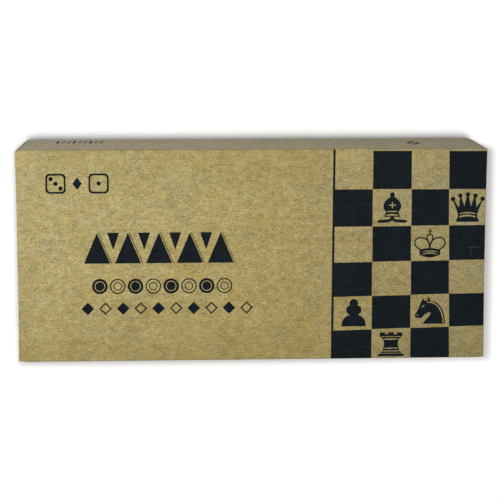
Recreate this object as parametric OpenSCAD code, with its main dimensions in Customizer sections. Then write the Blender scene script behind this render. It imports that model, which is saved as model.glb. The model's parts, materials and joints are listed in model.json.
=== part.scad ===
// Games compendium: a tuck-end carton of fluted kraft board that holds a hinged
// wooden board case with its chessmen, draughts and dice.
//
// X runs along the length, Y up the printed front, Z out of the printed front.
// The carton lies on its back panel, and the origin is the middle of that panel.

/* [Carton] */
// Outer length of the closed carton
carton_length = 300; // [240:1:400]
// Outer width of the closed carton, up the printed front
carton_width = 137; // [112:1:180]
// Outer depth of the closed carton, back panel to printed front
carton_depth = 58; // [44:1:70]
// Thickness of the fluted board
board = 1.5; // [1:0.1:2]
// Outer radius of the four long folds
fold_radius = 1.2; // [0.6:0.1:2]
// How far each tuck tongue reaches into the carton
tongue_length = 12.5; // [9:0.5:14]
// How much narrower the tongue is than the closure, at each side
tongue_inset = 5; // [3:0.5:12]
// Reach of the dust flaps from their creases
dust_flap_length = 25; // [16:1:28]
// Height of the glued tab that joins the tube
glue_tab_height = 15; // [10:1:16]

/* [Carton fits] */
// Slack between two boards that lie on each other
board_gap = 0.25; // [0.1:0.05:0.5]
// Slack between a crease and the flap that turns on it
crease_gap = 0.08; // [0.05:0.01:0.12]
// Slack above and below the tuck tongue
tongue_gap = 0.25; // [0.2:0.05:0.6]
// Slack between the closure and each side of the carton
closure_inset = 0.6; // [0.4:0.1:2]

/* [Wooden case] */
// Play between each end of the case and the dust flaps
case_end_play = 3.5; // [3.2:0.1:5]
// Space beside the case for the hinge knuckles and the hooks
case_side_gap = 2.9; // [2.8:0.1:4]
// Slack under the case
case_under_gap = 0.3; // [0.1:0.1:1]
// Thickness of the rails
rail = 8; // [6:0.5:10]
// Thickness of the plywood panels
panel = 3; // [2:0.5:4]
// Gap between the two closed halves
halves_gap = 0.1; // [0.05:0.05:0.3]
// Least border outside the squares, along the long sides
border_side = 5.1; // [4:0.1:12]
// Least border outside the squares, at the ends
border_end = 27; // [26:0.5:40]

/* [Hinges] */
// Length of each hinge
hinge_length = 25; // [20:1:34]
// Thickness of the hinge leaves
leaf = 0.8; // [0.6:0.1:1]
// Depth of the leaves in the rails
leaf_depth = 6.5; // [5:0.5:7]
// Outer radius of the knuckle
knuckle_radius = 1.1; // [1:0.05:1.2]
// Radius of the hinge pin
pin_radius = 0.5; // [0.4:0.05:0.6]
// Distance of each hinge and hook from the middle of the case
fitting_offset = 85; // [60:1:90]

/* [Hooks] */
// Thickness of the hook plate
hook_plate = 1; // [0.8:0.1:1]
// Width of the hook's arm
hook_arm = 3.6; // [3:0.2:4.4]
// Shank radius of the hook's pivot and of its catch
stud_radius = 1; // [0.8:0.1:1.2]
// Radius of the screw heads that hold the hook
stud_head = 1.9; // [1.7:0.1:2.4]

/* [Game pieces] */
// Diameter of a draughtsman, as a share of a square
draught_share = 0.72; // [0.6:0.01:0.74]
// Thickness of a draughtsman, as a share of a square
draught_thick_share = 0.2; // [0.16:0.01:0.21]
// Edge of a die, as a share of a square
die_share = 0.32; // [0.26:0.01:0.36]
// Gap left between pieces that lie side by side
piece_gap = 0.5; // [0.3:0.1:0.6]

/* [Hidden] */
$fn = 48;

kraft = [0.65, 0.55, 0.33];
beech = [0.82, 0.66, 0.45];
birch_ply = [0.86, 0.74, 0.54];
brass = [0.80, 0.64, 0.30];
boxwood = [0.90, 0.78, 0.55];
ebonised = [0.16, 0.12, 0.10];
ivory = [0.93, 0.91, 0.85];

// Carton planes and creases
end_x = carton_length / 2;
side_y = carton_width / 2;
closure_crease_x = end_x - board / 2;
dust_face_x = end_x - board - board_gap;
dust_crease_x = dust_face_x - board / 2;
dust_crease_y = side_y - board / 2;
tongue_fold = 45; // the angle by which a tongue folds in while its closure opens
// A tongue that folds in at a share of the closure's angle rises a little before it draws out
tongue_rise = pow(tongue_length * (1 - tongue_fold / 90), 2) / (2 * (carton_depth - 3 * board));
tongue_crease_z = carton_depth - board - tongue_gap - tongue_rise - board / 2;
tongue_under_z = tongue_crease_z - board / 2;
closure_width = carton_width - 2 * closure_inset;
tongue_width = closure_width - 2 * tongue_inset;
crease_clear = board / 2 + crease_gap;
closure_corner = 3;
tongue_corner = 8;
glue_tab_margin = 4; // from each end of the tab to the inside of a dust flap

// Dust flap outline, from its crease to its tip
dust_foot_gap = 0.4;
dust_foot = board + dust_foot_gap;
dust_head_drop = 0.3;
dust_shoulder = 7;
dust_foot_slope = 45;
dust_head_slope = 22;
dust_tip_radius = 2.5;

// Case planes
case_x = end_x - 2 * board - board_gap - case_end_play;
case_y = side_y - board - case_side_gap;
case_foot = board + case_under_gap;
case_top = tongue_under_z - tongue_gap;
case_mid = (case_foot + case_top) / 2;
half_height = (case_top - case_foot - halves_gap) / 2;
rail_height = half_height - panel;
finger = rail_height / 3;
inner_x = case_x - rail;
inner_y = case_y - rail;
square_size = min((2 * case_y - 2 * border_side) / 4, (2 * case_x - 2 * border_end) / 8);

// Hinges
knuckle_gap = 0.1;
knuckle_y = case_y + knuckle_radius + knuckle_gap;
pin_gap = 0.05;
knuckles = 5;
seat_gap = 0.03; // under a leaf in its recess, and under a screw head in its countersink
leaf_gap = 0.05; // from a closed leaf to the plane between the halves
recess_gap = 0.1; // round a leaf in its recess
hinge_screw_head = 1.2;
hinge_screw_shank = 0.6;
hinge_screw_length = 5;
hinge_screw_margin = 4.5; // from each end of the leaf
hinge_screw_spacing = hinge_length - 2 * hinge_screw_margin;

// Hooks
hook_gap = 0.2; // between the rails and the hook
head_gap = 0.1; // between the hook and the screw heads
hook_y = -case_y - hook_gap;
hook_reach = rail_height;
hook_clear = 0.15; // round a shank in the hook
hook_eye = 3;
hook_arm_offset = 0.8; // the arm stands off the open side of the catch
hook_handle = [3, 2.4];
catch_rise = 0.5; // the catch moves up in its slot as the hook swings clear
stud_head_thick = 0.7;
stud_depth = 5; // of the holes in the rails
stud_end_gap = 0.5;

// Drawing aids
over = 1; // how far a cutting shape runs past the face it cuts
weld = 0.01; // by which two shapes of one piece overlap

// Chessmen: base radius, height, head radius, height of the head's middle, collar radius and height
king_size = square_size * [0.355, 1.98, 0.20, 1.55, 0.277, 1.29];
queen_size = square_size * [0.345, 1.80, 0.21, 1.48, 0.262, 1.228];
bishop_size = square_size * [0.31, 1.50, 0.17, 1.18, 0.223, 0.985];
knight_size = square_size * [0.31, 1.26, 0.15, 1.11, 0.267, 0.428];
rook_size = square_size * [0.31, 1.12, 0.22, 0.98, 0.242, 0.815];
pawn_size = square_size * [0.27, 0.94, 0.15, 0.78, 0.178, 0.638];
foot_share = 0.42; // height of a man's foot, as a share of its base radius
rim_share = 0.35; // height of the foot's widest place, as a share of the foot's height
draught_radius = square_size * draught_share / 2;
draught_thick = square_size * draught_thick_share;
die = square_size * die_share;
draughts_a_side = 15;
rest_gap = 0.1; // keeps a lying piece just off the panel

// Widths of the rows in which one side's men lie, from the end of the case inwards
row_radius = [king_size[0], queen_size[0], knight_size[0], rook_size[0],
              pawn_size[0], pawn_size[0], draught_radius];
function row_edge(i) = i == 0 ? 0 : row_edge(i - 1) + 2 * row_radius[i - 1] + piece_gap;
function row_x(i) = inner_x - piece_gap - row_edge(i) - row_radius[i];
// How far a lying piece leans, so that it rests on the rim of its foot and on its collar or head
function rim_height(s) = s[0] * foot_share * rim_share;
function lean(s) = atan(min((s[0] - s[4]) / (s[5] - rim_height(s)),
                            (s[0] - s[2]) / (s[3] + s[2] - rim_height(s))));
// Length that a lying piece takes up along its row
function span(s) = s[1] * cos(lean(s)) + s[0] * sin(lean(s)) + piece_gap;
function row_start() = -inner_y + piece_gap;

// Points on an arc round c, from angle a to angle b
function arc(c, r, a, b, steps = 8) =
    [for (i = [0:steps]) c + r * [cos(a + (b - a) * i / steps), sin(a + (b - a) * i / steps)]];

module rounded_rectangle(size, r) {
    translate([0, r]) square([size[0], size[1] - 2 * r]);
    translate([r, 0]) square([size[0] - 2 * r, size[1]]);
    for (x = [r, size[0] - r], y = [r, size[1] - r]) translate([x, y]) circle(r);
}

// A 2D outline in Y and Z, drawn out along X from x
module along_x(x, length) {
    translate([x, 0, 0]) rotate([90, 0, 90]) linear_extrude(length) children();
}

// A 2D outline in X and Z, drawn out along Y over a width centred on Y = 0
module across_y(width) {
    translate([0, width / 2, 0]) rotate([90, 0, 0]) linear_extrude(width) children();
}

module mirrored(side) {
    if (side > 0) children();
    else mirror([1, 0, 0]) children();
}

// ---- Carton ----

module tube_outline() {
    translate([-side_y, 0]) rounded_rectangle([carton_width, carton_depth], fold_radius);
}

module tube_wall() {
    difference() {
        tube_outline();
        translate([board - side_y, board])
            square([carton_width - 2 * board, carton_depth - 2 * board]);
    }
}

module panel_strip(z) {
    intersection() {
        tube_outline();
        translate([-side_y, z]) square([carton_width, board]);
    }
}

module carton_sleeve() {
    color(kraft) {
        along_x(-dust_crease_x, 2 * dust_crease_x) tube_wall();
        along_x(-end_x, carton_length) panel_strip(carton_depth - board);
        along_x(-closure_crease_x, 2 * closure_crease_x) panel_strip(0);
        for (side = [-1, 1]) {
            translate([side * closure_crease_x, 0, board / 2])
                rotate([90, 0, 0]) cylinder(r = board / 2, h = closure_width, center = true);
            for (edge = [-1, 1])
                translate([side * dust_crease_x, edge * dust_crease_y, board])
                    cylinder(r = board / 2, h = carton_depth - 2 * board);
        }
    }
}

module glue_tab() {
    taper = glue_tab_height / 2;
    half = dust_crease_x - board - glue_tab_margin;
    color(kraft) translate([0, side_y - board, board]) rotate([90, 0, 0]) linear_extrude(board)
        polygon([[-half, 0], [half, 0], [half - taper, glue_tab_height], [taper - half, glue_tab_height]]);
}

// The closures, tongues and dust flaps are drawn for the right-hand end
module closure(side) {
    foot = board + crease_gap;
    color(kraft) mirrored(side) {
        along_x(end_x - board, board) {
            translate([-closure_width / 2, foot])
                square([closure_width, tongue_crease_z - foot - closure_corner]);
            translate([closure_corner - closure_width / 2, foot])
                square([closure_width - 2 * closure_corner, tongue_crease_z - foot]);
            for (edge = [-1, 1])
                translate([edge * (closure_width / 2 - closure_corner), tongue_crease_z - closure_corner])
                    circle(closure_corner);
        }
        translate([closure_crease_x, 0, tongue_crease_z])
            rotate([90, 0, 0]) cylinder(r = board / 2, h = tongue_width, center = true);
    }
}

module tongue(side) {
    half = board / 2;
    // The foot of the tongue is cut back so that it can fold in towards the closure
    cut = crease_clear / sin(tongue_fold);
    color(kraft) mirrored(side) intersection() {
        translate([closure_crease_x, 0, tongue_crease_z]) across_y(tongue_width)
            polygon([[-crease_clear, half], [-crease_clear, cut - crease_clear],
                     [-cut - half, -half], [-tongue_length, -half], [-tongue_length, half]]);
        translate([closure_crease_x - tongue_length, -tongue_width / 2, 0])
            linear_extrude(carton_depth) {
                translate([0, tongue_corner])
                    square([tongue_length, tongue_width - 2 * tongue_corner]);
                translate([tongue_corner, 0]) square([tongue_length - tongue_corner, tongue_width]);
                for (y = [tongue_corner, tongue_width - tongue_corner])
                    translate([tongue_corner, y]) circle(tongue_corner);
            }
    }
}

module dust_flap(side, edge) {
    head = tongue_under_z - dust_head_drop;
    r = dust_tip_radius;
    tip = dust_flap_length - r;
    // Middles of the two rounds at the tip, each of which touches the tip and a slanted edge
    low = [tip, dust_foot + (tip - crease_clear) * tan(dust_foot_slope) + r / cos(dust_foot_slope)];
    high = [tip, head - (tip - dust_shoulder) * tan(dust_head_slope) - r / cos(dust_head_slope)];
    color(kraft) mirrored(side) mirror([0, edge > 0 ? 0 : 1, 0])
        along_x(dust_crease_x - board / 2, board)
            translate([dust_crease_y, 0]) mirror([1, 0])
                polygon(concat([[crease_clear, dust_foot]],
                               arc(low, r, dust_foot_slope - 90, 0, 6),
                               arc(high, r, 0, 90 - dust_head_slope, 6),
                               [[dust_shoulder, head], [crease_clear, head]]));
}

// ---- Wooden case ----
// Each half is drawn as the lower one, standing on z = 0, and put in place by in_half()

module in_half(upper) {
    if (upper) translate([0, 0, case_top]) mirror([0, 0, 1]) children();
    else translate([0, 0, case_foot]) children();
}

module case_panel(upper) {
    color(birch_ply) in_half(upper)
        translate([-case_x, -case_y, 0]) cube([2 * case_x, 2 * case_y, panel]);
}

// The middle third of each corner is a finger of the end rail
module end_fingers() {
    for (x = [-case_x, case_x - rail], y = [-case_y, case_y - rail])
        translate([x, y, panel + finger]) cube([rail, rail, finger]);
}

module long_rail(y) {
    difference() {
        translate([-case_x, y, panel]) cube([2 * case_x, rail, rail_height]);
        end_fingers();
    }
}

module end_rail(upper, side) {
    color(beech) in_half(upper) {
        translate([side > 0 ? case_x - rail : -case_x, rail - case_y, panel])
            cube([rail, 2 * case_y - 2 * rail, rail_height]);
        intersection() {
            end_fingers();
            translate([side > 0 ? 0 : -case_x, -case_y, 0])
                cube([case_x, 2 * case_y, half_height]);
        }
    }
}

// Places of the screws in one hinge leaf
module at_hinge_screws(x) {
    for (dx = [-1, 1])
        translate([x + dx * hinge_screw_spacing / 2, case_y - leaf_depth / 2, half_height])
            children();
}

module hinge_rail(upper) {
    recess = leaf - halves_gap / 2 + seat_gap;
    color(beech) in_half(upper) difference() {
        long_rail(case_y - rail);
        for (side = [-1, 1]) {
            translate([side * fitting_offset - hinge_length / 2 - recess_gap,
                       case_y - leaf_depth - recess_gap, half_height - recess])
                cube([hinge_length + 2 * recess_gap, leaf_depth + over, recess + over]);
            at_hinge_screws(side * fitting_offset)
                translate([0, 0, -leaf - hinge_screw_length])
                    cylinder(r = hinge_screw_shank + pin_gap, h = hinge_screw_length + over, $fn = 24);
        }
    }
}

module hinge_leaf(upper, side) {
    pitch = hinge_length / knuckles;
    first = upper ? 1 : 0;
    middle = half_height + halves_gap / 2;
    color(brass) in_half(upper) difference() {
        union() {
            translate([side * fitting_offset - hinge_length / 2, case_y - leaf_depth, middle - leaf])
                cube([hinge_length, leaf_depth, leaf - leaf_gap]);
            for (k = [first:2:knuckles - 1])
                translate([side * fitting_offset - hinge_length / 2 + k * pitch + knuckle_gap / 2,
                           0, middle]) {
                    translate([0, knuckle_y, 0]) rotate([0, 90, 0])
                        cylinder(r = knuckle_radius, h = pitch - knuckle_gap);
                    translate([0, case_y - weld, -leaf])
                        cube([pitch - knuckle_gap, knuckle_y - case_y, leaf - leaf_gap]);
                }
        }
        translate([side * fitting_offset, knuckle_y, middle]) rotate([0, 90, 0])
            cylinder(r = pin_radius + pin_gap, h = hinge_length + 2 * over, center = true, $fn = 32);
        at_hinge_screws(side * fitting_offset) {
            translate([0, 0, -leaf - over])
                cylinder(r = hinge_screw_shank + pin_gap, h = leaf + 2 * over, $fn = 24);
            translate([0, 0, -leaf / 2])
                cylinder(r = hinge_screw_head + pin_gap, h = leaf, $fn = 24);
        }
    }
}

module hinge_pin(side) {
    color(brass) translate([side * fitting_offset, knuckle_y, case_mid]) rotate([0, 90, 0])
        cylinder(r = pin_radius, h = hinge_length, center = true, $fn = 32);
}

module hinge_screws(upper) {
    color(brass) in_half(upper) for (side = [-1, 1])
        at_hinge_screws(side * fitting_offset) {
            translate([0, 0, -hinge_screw_length - leaf / 2])
                cylinder(r = hinge_screw_shank, h = hinge_screw_length + leaf / 4, $fn = 24);
            translate([0, 0, -leaf / 2 + seat_gap])
                cylinder(r = hinge_screw_head, h = leaf / 2 - seat_gap, $fn = 24);
        }
}

module hook_rail(upper) {
    color(beech) in_half(upper) difference() {
        long_rail(-case_y);
        for (side = [-1, 1])
            translate([side * fitting_offset, -case_y - over, panel + rail_height / 2])
                rotate([-90, 0, 0])
                    cylinder(r = stud_radius + pin_gap, h = stud_depth + over, $fn = 24);
    }
}

// A round-headed screw in a hook rail, on which the hook turns or catches
module hook_screw(upper, side) {
    under_head = hook_y - hook_plate - head_gap;
    color(brass) in_half(upper)
        translate([side * fitting_offset, 0, panel + rail_height / 2]) rotate([-90, 0, 0]) {
            translate([0, 0, under_head])
                cylinder(r = stud_radius, h = stud_depth + hook_plate - stud_end_gap, $fn = 24);
            translate([0, 0, under_head - stud_head_thick])
                cylinder(r = stud_head, h = stud_head_thick, $fn = 32);
        }
}

// The hook hangs from the upper rail and catches the lower screw from its left
module hook(side) {
    slot = stud_radius + hook_clear;
    color(brass) translate([side * fitting_offset, hook_y, case_mid + hook_reach / 2 + halves_gap / 2])
        rotate([90, 0, 0]) linear_extrude(hook_plate) difference() {
            union() {
                circle(hook_eye);
                translate([0, -hook_reach - halves_gap]) circle(hook_eye);
                translate([hook_arm_offset - hook_arm / 2, -hook_reach])
                    square([hook_arm, hook_reach]);
                translate([hook_eye - hook_arm_offset, -hook_reach - halves_gap - hook_eye])
                    square(hook_handle);
            }
            circle(slot);
            translate([0, -hook_reach - halves_gap]) circle(slot);
            translate([-hook_eye - over, -hook_reach - halves_gap - slot])
                square([hook_eye + over, 2 * slot + catch_rise]);
        }
}

// ---- Game pieces ----
// Each man stands on z = 0 round the Z axis; s is its size list

module turned(points) {
    rotate_extrude() polygon(concat([[0, 0]], points));
}

// Foot, waist and collar that every man shares, up to its collar
function foot_profile(s, waist) =
    let (r = s[0], b = r * foot_share, rim = b * rim_share)
    concat([[r * 0.94, 0]],
           arc([r - rim, rim], rim, 0, 90, 5),
           [[r * 0.80, b * 0.75]],
           arc([r * 0.68, b * 0.98], b * 0.28, 0, 90, 5),
           [[waist * 1.35, s[5] * 0.42], [waist, s[5] * 0.72], [waist * 1.05, s[5] * 0.9],
            [s[4], s[5] * 0.94], [s[4], s[5] * 0.99], [s[4] * 0.7, s[5] * 1.02]]);

module pawn(s) {
    turned(concat(foot_profile(s, s[0] * 0.40), arc([0, s[3]], s[2], -58, 90, 10)));
}

module rook(s) {
    crown = s[2];
    notch = crown * 0.34;
    difference() {
        turned(concat(foot_profile(s, s[0] * 0.56),
                      [[crown * 0.86, s[5] * 1.08], [crown, s[1] * 0.86], [crown, s[1]],
                       [crown * 0.66, s[1]], [crown * 0.66, s[1] * 0.90], [0, s[1] * 0.90]]));
        for (turn = [0, 60, 120])
            rotate([0, 0, turn]) translate([-s[0] * 2, -notch / 2, s[1] * 0.92])
                cube([s[0] * 4, notch, s[1]]);
    }
}

module bishop(s) {
    ball = s[2] * 0.26;
    difference() {
        turned(concat(foot_profile(s, s[0] * 0.42),
                      arc([0, s[3]], s[2], -55, 20, 8),
                      [[s[2] * 0.55, s[3] + s[2] * 0.95], [ball * 0.7, s[1] - ball * 1.7]],
                      arc([0, s[1] - ball], ball, -45, 90, 6)));
        translate([0, 0, s[3] + s[2] * 0.7]) rotate([0, -35, 0])
            cube([s[2] * 1.6, s[2] * 3, s[2] * 0.22]);
    }
}

module knight(s) {
    thick = 2 * s[2];
    base = s[5];
    turned(concat(foot_profile(s, s[0] * 0.72), [[0, base * 1.02]]));
    u = s[0];
    top = s[1];
    translate([0, thick / 2, 0]) rotate([90, 0, 0]) linear_extrude(thick)
        polygon(concat(
            [[u * 0.70, base], [-u * 0.55, base], [-u * 0.50, base * 1.25], [-u * 0.12, base * 1.75],
             [-u * 0.55, base * 1.80], [-u * 0.92, base * 1.72]],
            arc([-u * 0.82, base * 1.90], u * 0.16, 250, 130, 4),
            [[-u * 0.62, top * 0.80], [-u * 0.30, top * 0.93], [-u * 0.16, top], [0, top * 0.94]],
            arc([-u * 0.15, top * 0.62], u * 0.98, 62, -20, 8)));
}

module queen(s) {
    ball = s[2] * 0.32;
    brim = s[1] - ball * 1.9;
    difference() {
        turned(concat(foot_profile(s, s[0] * 0.42),
                      [[s[2] * 0.62, s[5] * 1.05], [s[2], brim], [s[2] * 0.72, brim],
                       [s[2] * 0.45, brim - ball * 0.5], [ball * 0.8, brim]],
                      arc([0, s[1] - ball], ball, -50, 90, 6)));
        for (turn = [0:45:315])
            rotate([0, 0, turn]) translate([s[2], 0, brim + ball * 0.15]) rotate([90, 0, turn])
                cylinder(r = s[2] * 0.2, h = s[2], center = true, $fn = 16);
    }
}

module king(s) {
    shoulder = s[3] + s[2] * 1.1;
    bar = s[2] * 0.32;
    turned(concat(foot_profile(s, s[0] * 0.42),
                  [[s[2] * 0.66, s[5] * 1.04], [s[2], shoulder]],
                  arc([0, shoulder - s[2] * 0.6], s[2] * 1.08, 34, 84, 5), [[0, shoulder + s[2] * 0.5]]));
    translate([-bar / 2, -bar / 2, shoulder]) cube([bar, bar, s[1] - shoulder]);
    translate([-s[2] * 0.5, -bar / 2, s[1] - bar * 2.1]) cube([s[2], bar, bar]);
}

// Lays a man down in a row, with its base at the start of the row and its head along +Y
module lying(s, side, row, start) {
    translate([side * row_x(row), row_start() + start + s[0] * sin(lean(s)),
               case_foot + panel + rest_gap + s[0] * cos(lean(s)) + rim_height(s) * sin(lean(s))])
        rotate([-90 - lean(s), 0, 0]) children();
}

module chess_king(side) lying(king_size, side, 0, 0) king(king_size);
module chess_queen(side) lying(queen_size, side, 1, 0) queen(queen_size);
module chess_bishops(side) {
    lying(bishop_size, side, 0, span(king_size)) bishop(bishop_size);
    lying(bishop_size, side, 1, span(queen_size)) bishop(bishop_size);
}
module chess_knights(side) for (i = [0, 1])
    lying(knight_size, side, 2, i * span(knight_size)) knight(knight_size);
module chess_rooks(side) for (i = [0, 1])
    lying(rook_size, side, 3, i * span(rook_size)) rook(rook_size);
module chess_pawns(side) {
    lying(pawn_size, side, 2, 2 * span(knight_size)) pawn(pawn_size);
    lying(pawn_size, side, 3, 2 * span(rook_size)) pawn(pawn_size);
    for (row = [4, 5], i = [0:2]) lying(pawn_size, side, row, i * span(pawn_size)) pawn(pawn_size);
}

// A draughtsman has a dished ring on each face; the set lies on edge in a roll
module draught() {
    ring = draught_radius * [0.45, 0.80];
    dish = draught_thick * 0.1;
    difference() {
        cylinder(r = draught_radius, h = draught_thick);
        for (z = [0, draught_thick]) translate([0, 0, z]) rotate_extrude()
            translate([0, -dish]) difference() {
                square([ring[1], 2 * dish]);
                square([ring[0], 2 * dish]);
            }
    }
}

module draughts(side) for (i = [0:draughts_a_side - 1])
    translate([side * row_x(6), row_start() + i * (draught_thick + rest_gap),
               case_foot + panel + rest_gap + draught_radius])
        rotate([-90, 0, 0]) draught();

// Places of the pips of one face, from 1 to 6, on a unit square
function pips(n) = concat(n % 2 == 1 ? [[0, 0]] : [], n > 1 ? [[-1, 1], [1, -1]] : [],
                          n > 3 ? [[1, 1], [-1, -1]] : [], n > 5 ? [[-1, 0], [1, 0]] : []);

module cast_die() {
    pip = die * 0.09;
    pitch = die * 0.26;
    // face turns and counts, so that opposite faces add up to seven
    faces = [[[0, 0, 0], 1], [[180, 0, 0], 6], [[90, 0, 0], 2], [[-90, 0, 0], 5],
             [[0, 90, 0], 3], [[0, -90, 0], 4]];
    difference() {
        intersection() {
            cube(die, center = true);
            sphere(r = die * 0.74);
        }
        for (f = faces) rotate(f[0]) for (p = pips(f[1]))
            translate([p[0] * pitch, p[1] * pitch, die / 2 - pip * 0.5])
                cylinder(r = pip, h = pip, $fn = 16);
    }
}

module dice() color(ivory) for (side = [-1, 1])
    translate([side * row_x(6), inner_y - piece_gap - die / 2, case_foot + panel + rest_gap + die / 2])
        cast_die();

// ---- What is drawn ----

carton_sleeve();
glue_tab();
closure(1);  // right_closure
tongue(1);  // right_tongue
dust_flap(1, 1);  // right_dust_flap_far
dust_flap(1, -1);  // right_dust_flap_near
closure(-1);  // left_closure
tongue(-1);  // left_tongue
dust_flap(-1, 1);  // left_dust_flap_far
dust_flap(-1, -1);  // left_dust_flap_near
case_panel(false);  // lower_panel
hinge_rail(false);  // lower_hinge_rail
hook_rail(false);  // lower_hook_rail
end_rail(false, -1);  // lower_left_rail
end_rail(false, 1);  // lower_right_rail
case_panel(true);  // upper_panel
hinge_rail(true);  // upper_hinge_rail
hook_rail(true);  // upper_hook_rail
end_rail(true, -1);  // upper_left_rail
end_rail(true, 1);  // upper_right_rail
hinge_leaf(false, -1);  // left_hinge_lower_leaf
hinge_leaf(true, -1);  // left_hinge_upper_leaf
hinge_pin(-1);  // left_hinge_pin
hinge_leaf(false, 1);  // right_hinge_lower_leaf
hinge_leaf(true, 1);  // right_hinge_upper_leaf
hinge_pin(1);  // right_hinge_pin
hinge_screws(false);  // lower_hinge_screws
hinge_screws(true);  // upper_hinge_screws
hook(-1);  // left_hook
hook(1);  // right_hook
for (side = [-1, 1]) hook_screw(true, side);  // hook_pivot_screws
for (side = [-1, 1]) hook_screw(false, side);  // hook_catch_screws
color(boxwood) chess_king(-1);  // light_king
color(boxwood) chess_queen(-1);  // light_queen
color(boxwood) chess_bishops(-1);  // light_bishops
color(boxwood) chess_knights(-1);  // light_knights
color(boxwood) chess_rooks(-1);  // light_rooks
color(boxwood) chess_pawns(-1);  // light_pawns
color(ebonised) chess_king(1);  // dark_king
color(ebonised) chess_queen(1);  // dark_queen
color(ebonised) chess_bishops(1);  // dark_bishops
color(ebonised) chess_knights(1);  // dark_knights
color(ebonised) chess_rooks(1);  // dark_rooks
color(ebonised) chess_pawns(1);  // dark_pawns
color(boxwood) draughts(-1);  // light_draughts
color(ebonised) draughts(1);  // dark_draughts
dice();
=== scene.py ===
import json
import math

import bmesh
import bpy
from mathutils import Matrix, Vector
from mathutils.geometry import tessellate_polygon


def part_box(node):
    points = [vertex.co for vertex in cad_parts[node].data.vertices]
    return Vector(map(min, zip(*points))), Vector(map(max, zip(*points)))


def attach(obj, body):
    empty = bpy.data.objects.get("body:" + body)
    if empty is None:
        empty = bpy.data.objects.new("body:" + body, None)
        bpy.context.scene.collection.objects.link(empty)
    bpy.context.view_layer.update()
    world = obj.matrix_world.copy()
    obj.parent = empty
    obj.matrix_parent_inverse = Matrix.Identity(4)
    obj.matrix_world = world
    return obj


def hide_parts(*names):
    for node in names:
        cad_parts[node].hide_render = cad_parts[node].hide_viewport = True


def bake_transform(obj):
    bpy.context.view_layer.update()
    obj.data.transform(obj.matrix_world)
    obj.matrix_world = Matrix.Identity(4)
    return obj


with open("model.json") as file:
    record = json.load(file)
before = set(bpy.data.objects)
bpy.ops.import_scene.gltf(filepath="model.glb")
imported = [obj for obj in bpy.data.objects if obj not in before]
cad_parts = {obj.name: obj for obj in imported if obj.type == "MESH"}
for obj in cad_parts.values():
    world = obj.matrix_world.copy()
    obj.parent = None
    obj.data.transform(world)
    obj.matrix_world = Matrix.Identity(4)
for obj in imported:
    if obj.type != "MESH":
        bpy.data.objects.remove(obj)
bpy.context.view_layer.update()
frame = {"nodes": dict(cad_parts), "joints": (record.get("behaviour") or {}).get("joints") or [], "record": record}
print("frame loaded,", len(frame["nodes"]), "nodes")

mm = 0.001  # sizes below are in millimetres unless they say otherwise
inkGap = 0.02  # height of the ink above the board it is printed on


def boxOf(node):
    low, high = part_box(node)
    return low / mm, high / mm


jointAt = {j["name"]: Vector(j["pos_m"]) / mm for j in frame["joints"] if "pos_m" in j}
sleeveHigh = boxOf("carton_sleeve")[1]
closureLow, closureHigh = boxOf("right_closure")
tongueLow, tongueHigh = boxOf("right_tongue")
dustLow, dustHigh = boxOf("right_dust_flap_far")
endX = sleeveHigh.x
sideY = sleeveHigh.y
topZ = sleeveHigh.z
board = closureHigh.x - closureLow.x
closureHinge = jointAt["right_closure_fold"]
tongueHinge = jointAt["right_tongue_fold"]
dustHinge = jointAt["right_dust_far_fold"]


def makePiece(name, verts, faces, sharpAngle=35):
    mesh = bpy.data.meshes.new(name)
    mesh.from_pydata([Vector(v) * mm for v in verts], [], faces)
    bm = bmesh.new()
    bm.from_mesh(mesh)
    bmesh.ops.recalc_face_normals(bm, faces=bm.faces)
    bm.to_mesh(mesh)
    bm.free()
    mesh.shade_smooth()
    mesh.set_sharp_from_angle(angle=math.radians(sharpAngle))
    piece = bpy.data.objects.new(name, mesh)
    bpy.context.scene.collection.objects.link(piece)
    return piece


def joinShells(shells):
    verts, faces = [], []
    for shellVerts, shellFaces in shells:
        base = len(verts)
        verts += shellVerts
        faces += [tuple(base + i for i in face) for face in shellFaces]
    return verts, faces


# A closed shell between two equal grids of points; a ring closes on itself along its rows
def shellBetween(lower, upper, ring=False):
    rows, cols = len(lower), len(lower[0])
    verts = [p for row in lower for p in row] + [p for row in upper for p in row]
    count = rows * cols
    faces = []
    for i in range(rows if ring else rows - 1):
        here, there = i * cols, (i + 1) % rows * cols
        for j in range(cols - 1):
            faces.append((here + j, here + j + 1, there + j + 1, there + j))
            faces.append((count + here + j, count + there + j, count + there + j + 1, count + here + j + 1))
        for j in (0, cols - 1):
            faces.append((here + j, there + j, count + there + j, count + here + j))
    for here in () if ring else (0, (rows - 1) * cols):
        for a in range(here, here + cols - 1):
            faces.append((a, a + 1, count + a + 1, count + a))
    return verts, faces


def arcPoints(centre, radius, start, end, steps):
    angles = [math.radians(start + (end - start) * i / steps) for i in range(steps + 1)]
    return [(centre[0] + radius * math.cos(a), centre[1] + radius * math.sin(a)) for a in angles]


def disc(x, y, radius, steps=24):
    return arcPoints((x, y), radius, 0, 360, steps)[:-1]


def spread(low, high, step):
    count = max(1, round((high - low) / step))
    return [low + (high - low) * i / count for i in range(count + 1)]


# Carton board is two liners on a fluted core
boardMake = {
    "liner": 0.28,  # thickness of each facing sheet
    "medium": 0.2,  # thickness of the fluted sheet
    "pitch": 3.3,  # from flute to flute
    "waveStep": 0.33,  # spacing of the points along a wave
    "across": 4,  # faces from edge to edge
    "coreDepth": 12,  # how far in from a raw edge the core is made
    "coreInset": 0.12,  # how far the core stays back from the liners' edges
    "barSides": 12,  # faces round the core in a crease
}


def waveHeight(along):
    swing = (board - 2 * boardMake["liner"] - boardMake["medium"]) / 2
    return board / 2 + swing * math.sin(2 * math.pi * along / boardMake["pitch"])


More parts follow.
